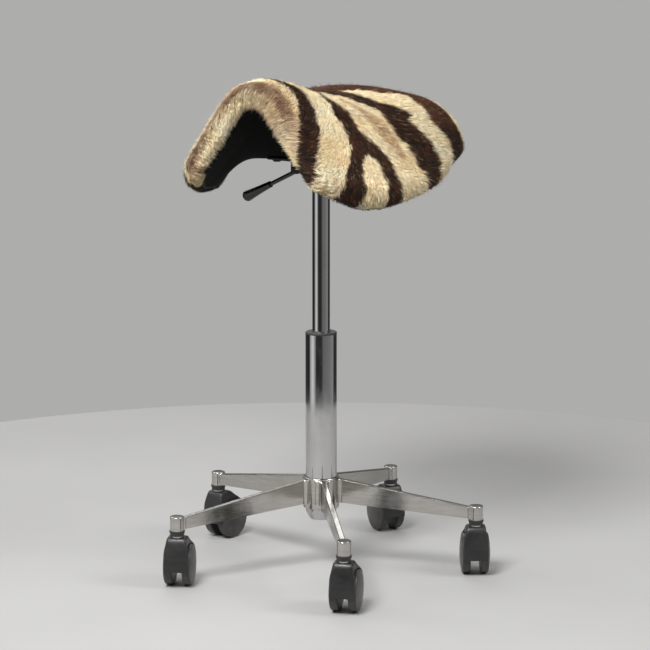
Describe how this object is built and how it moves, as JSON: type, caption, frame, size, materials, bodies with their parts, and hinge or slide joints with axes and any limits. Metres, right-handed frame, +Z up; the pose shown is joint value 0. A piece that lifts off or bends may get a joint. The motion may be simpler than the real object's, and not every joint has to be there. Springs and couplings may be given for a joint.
{
  "type": "saddle stool",
  "caption": "Height-adjustable saddle stool with a striped hair-on hide seat, chromed gas column, polished star base and twin-wheel casters.",
  "frame": {"origin": "on the floor, on the column's axis, below the seat's swivel", "axes": "+Z up along the column, -Y towards the front of the saddle (its pommel), +X towards the sitter's left"},
  "size_m": [0.5177, 0.5396, 0.7917],
  "materials": {
    "star_alloy": "polished",
    "column_chrome": "bright plated",
    "lift_chrome": "bright plated",
    "bush_plastic": "satin",
    "bearing_steel": "ground",
    "rod_steel": "ground",
    "buffer_rubber": "matt",
    "seal_rubber": "matt",
    "hair_hide": "short hair left on",
    "cover_plastic": "matt, textured",
    "shell_plywood": "moulded plywood",
    "foam": "open foam",
    "zinc_steel": "zinc plated",
    "plate_paint": "satin black",
    "socket_paint": "grey, satin",
    "lever_steel": "black, gloss",
    "knob_plastic": "gloss black",
    "caster_plastic": "satin black",
    "sleeve_plastic": "black",
    "wheel_plastic": "black, slightly worn"
  },
  "bodies": {
    "base": {"base_star": "star_alloy", "column_tube": "column_chrome", "guide_bush": "bush_plastic", "bearing_lower_race": "bearing_steel", "bearing_balls": "bearing_steel", "caster_1_sleeve": "sleeve_plastic", "caster_2_sleeve": "sleeve_plastic", "caster_3_sleeve": "sleeve_plastic", "caster_4_sleeve": "sleeve_plastic", "caster_5_sleeve": "sleeve_plastic"},
    "rod": {"piston_rod": "rod_steel", "piston": "rod_steel", "bearing_upper_race": "bearing_steel", "rubber_buffer": "buffer_rubber", "retaining_clip": "bearing_steel"},
    "seat": {"lift_tube": "lift_chrome", "seal_pack": "seal_rubber", "cone_socket": "socket_paint", "seat_plate": "plate_paint", "lever_bracket": "plate_paint", "lever_pivot_pin": "zinc_steel", "seat_bolts": "zinc_steel", "tee_nuts": "zinc_steel", "underside_cover": "cover_plastic", "seat_shell": "shell_plywood", "foam_pad": "foam", "hide_cover": "hair_hide"},
    "button": {"release_button": "rod_steel"},
    "lever": {"lever_bar": "lever_steel", "lever_knob": "knob_plastic"},
    "caster_1": {"caster_1_hood": "caster_plastic", "caster_1_stem": "zinc_steel", "caster_1_axle": "zinc_steel"},
    "caster_1_wheel_left": {"caster_1_wheel_left": "wheel_plastic"},
    "caster_1_wheel_right": {"caster_1_wheel_right": "wheel_plastic"},
    "caster_2": {"caster_2_hood": "caster_plastic", "caster_2_stem": "zinc_steel", "caster_2_axle": "zinc_steel"},
    "caster_2_wheel_left": {"caster_2_wheel_left": "wheel_plastic"},
    "caster_2_wheel_right": {"caster_2_wheel_right": "wheel_plastic"},
    "caster_3": {"caster_3_hood": "caster_plastic", "caster_3_stem": "zinc_steel", "caster_3_axle": "zinc_steel"},
    "caster_3_wheel_left": {"caster_3_wheel_left": "wheel_plastic"},
    "caster_3_wheel_right": {"caster_3_wheel_right": "wheel_plastic"},
    "caster_4": {"caster_4_hood": "caster_plastic", "caster_4_stem": "zinc_steel", "caster_4_axle": "zinc_steel"},
    "caster_4_wheel_left": {"caster_4_wheel_left": "wheel_plastic"},
    "caster_4_wheel_right": {"caster_4_wheel_right": "wheel_plastic"},
    "caster_5": {"caster_5_hood": "caster_plastic", "caster_5_stem": "zinc_steel", "caster_5_axle": "zinc_steel"},
    "caster_5_wheel_left": {"caster_5_wheel_left": "wheel_plastic"},
    "caster_5_wheel_right": {"caster_5_wheel_right": "wheel_plastic"}
  },
  "joints": [
    {"name": "seat_swivel", "type": "hinge", "parent": "base", "child": "rod", "pos_m": [0, 0, 0.09], "axis": [0, 0, 1], "continuous": true},
    {"name": "seat_height", "type": "slide", "parent": "rod", "child": "seat", "axis": [0, 0, 1], "range_m": [-0.2, 0]},
    {"name": "lever_lift", "type": "hinge", "parent": "seat", "child": "lever", "pos_m": [-0.045, 0, 0.6422], "axis": [0, 1, 0], "range_deg": [0, 4.4]},
    {"name": "button_press", "type": "slide", "parent": "seat", "child": "button", "axis": [0, 0, 1], "range_m": [-0.0038, 0], "stiffness_N_per_m": 150, "springref_m": 0.002},
    {"name": "caster_1_swivel", "type": "hinge", "parent": "base", "child": "caster_1", "pos_m": [0.18529, -0.16783, 0.09], "axis": [0, 0, 1], "continuous": true},
    {"name": "caster_1_wheel_left_roll", "type": "hinge", "parent": "caster_1", "child": "caster_1_wheel_left", "pos_m": [0.17637, -0.15106, 0.0325], "axis": [-0.8829, -0.4695, 0], "continuous": true},
    {"name": "caster_1_wheel_right_roll", "type": "hinge", "parent": "caster_1", "child": "caster_1_wheel_right", "pos_m": [0.17637, -0.15106, 0.0325], "axis": [-0.8829, -0.4695, 0], "continuous": true},
    {"name": "caster_2_swivel", "type": "hinge", "parent": "base", "child": "caster_2", "pos_m": [0.21688, 0.12436, 0.09], "axis": [0, 0, 1], "continuous": true},
    {"name": "caster_2_wheel_left_roll", "type": "hinge", "parent": "caster_2", "child": "caster_2_wheel_left", "pos_m": [0.20466, 0.13891, 0.0325], "axis": [-0.766, -0.6428, 0], "continuous": true},
    {"name": "caster_2_wheel_right_roll", "type": "hinge", "parent": "caster_2", "child": "caster_2_wheel_right", "pos_m": [0.20466, 0.13891, 0.0325], "axis": [-0.766, -0.6428, 0], "continuous": true},
    {"name": "caster_3_swivel", "type": "hinge", "parent": "base", "child": "caster_3", "pos_m": [-0.05125, 0.24469, 0.09], "axis": [0, 0, 1], "continuous": true},
    {"name": "caster_3_wheel_left_roll", "type": "hinge", "parent": "caster_3", "child": "caster_3_wheel_left", "pos_m": [-0.06833, 0.25302, 0.0325], "axis": [-0.4384, -0.8988, 0], "continuous": true},
    {"name": "caster_3_wheel_right_roll", "type": "hinge", "parent": "caster_3", "child": "caster_3_wheel_right", "pos_m": [-0.06833, 0.25302, 0.0325], "axis": [-0.4384, -0.8988, 0], "continuous": true},
    {"name": "caster_4_swivel", "type": "hinge", "parent": "base", "child": "caster_4", "pos_m": [-0.24855, 0.02687, 0.09], "axis": [0, 0, 1], "continuous": true},
    {"name": "caster_4_wheel_left_roll", "type": "hinge", "parent": "caster_4", "child": "caster_4_wheel_left", "pos_m": [-0.24988, 0.04582, 0.0325], "axis": [-0.9976, -0.0698, 0], "continuous": true},
    {"name": "caster_4_wheel_right_roll", "type": "hinge", "parent": "caster_4", "child": "caster_4_wheel_right", "pos_m": [-0.24988, 0.04582, 0.0325], "axis": [-0.9976, -0.0698, 0], "continuous": true},
    {"name": "caster_5_swivel", "type": "hinge", "parent": "base", "child": "caster_5", "pos_m": [-0.10236, -0.22808, 0.09], "axis": [0, 0, 1], "continuous": true},
    {"name": "caster_5_wheel_left_roll", "type": "hinge", "parent": "caster_5", "child": "caster_5_wheel_left", "pos_m": [-0.11271, -0.21215, 0.0325], "axis": [-0.8387, -0.5446, 0], "continuous": true},
    {"name": "caster_5_wheel_right_roll", "type": "hinge", "parent": "caster_5", "child": "caster_5_wheel_right", "pos_m": [-0.11271, -0.21215, 0.0325], "axis": [-0.8387, -0.5446, 0], "continuous": true}
  ],
  "couplings": [
    {"joint": "button_press", "follows": "lever_lift", "m_per_rad": -0.0485}
  ]
}
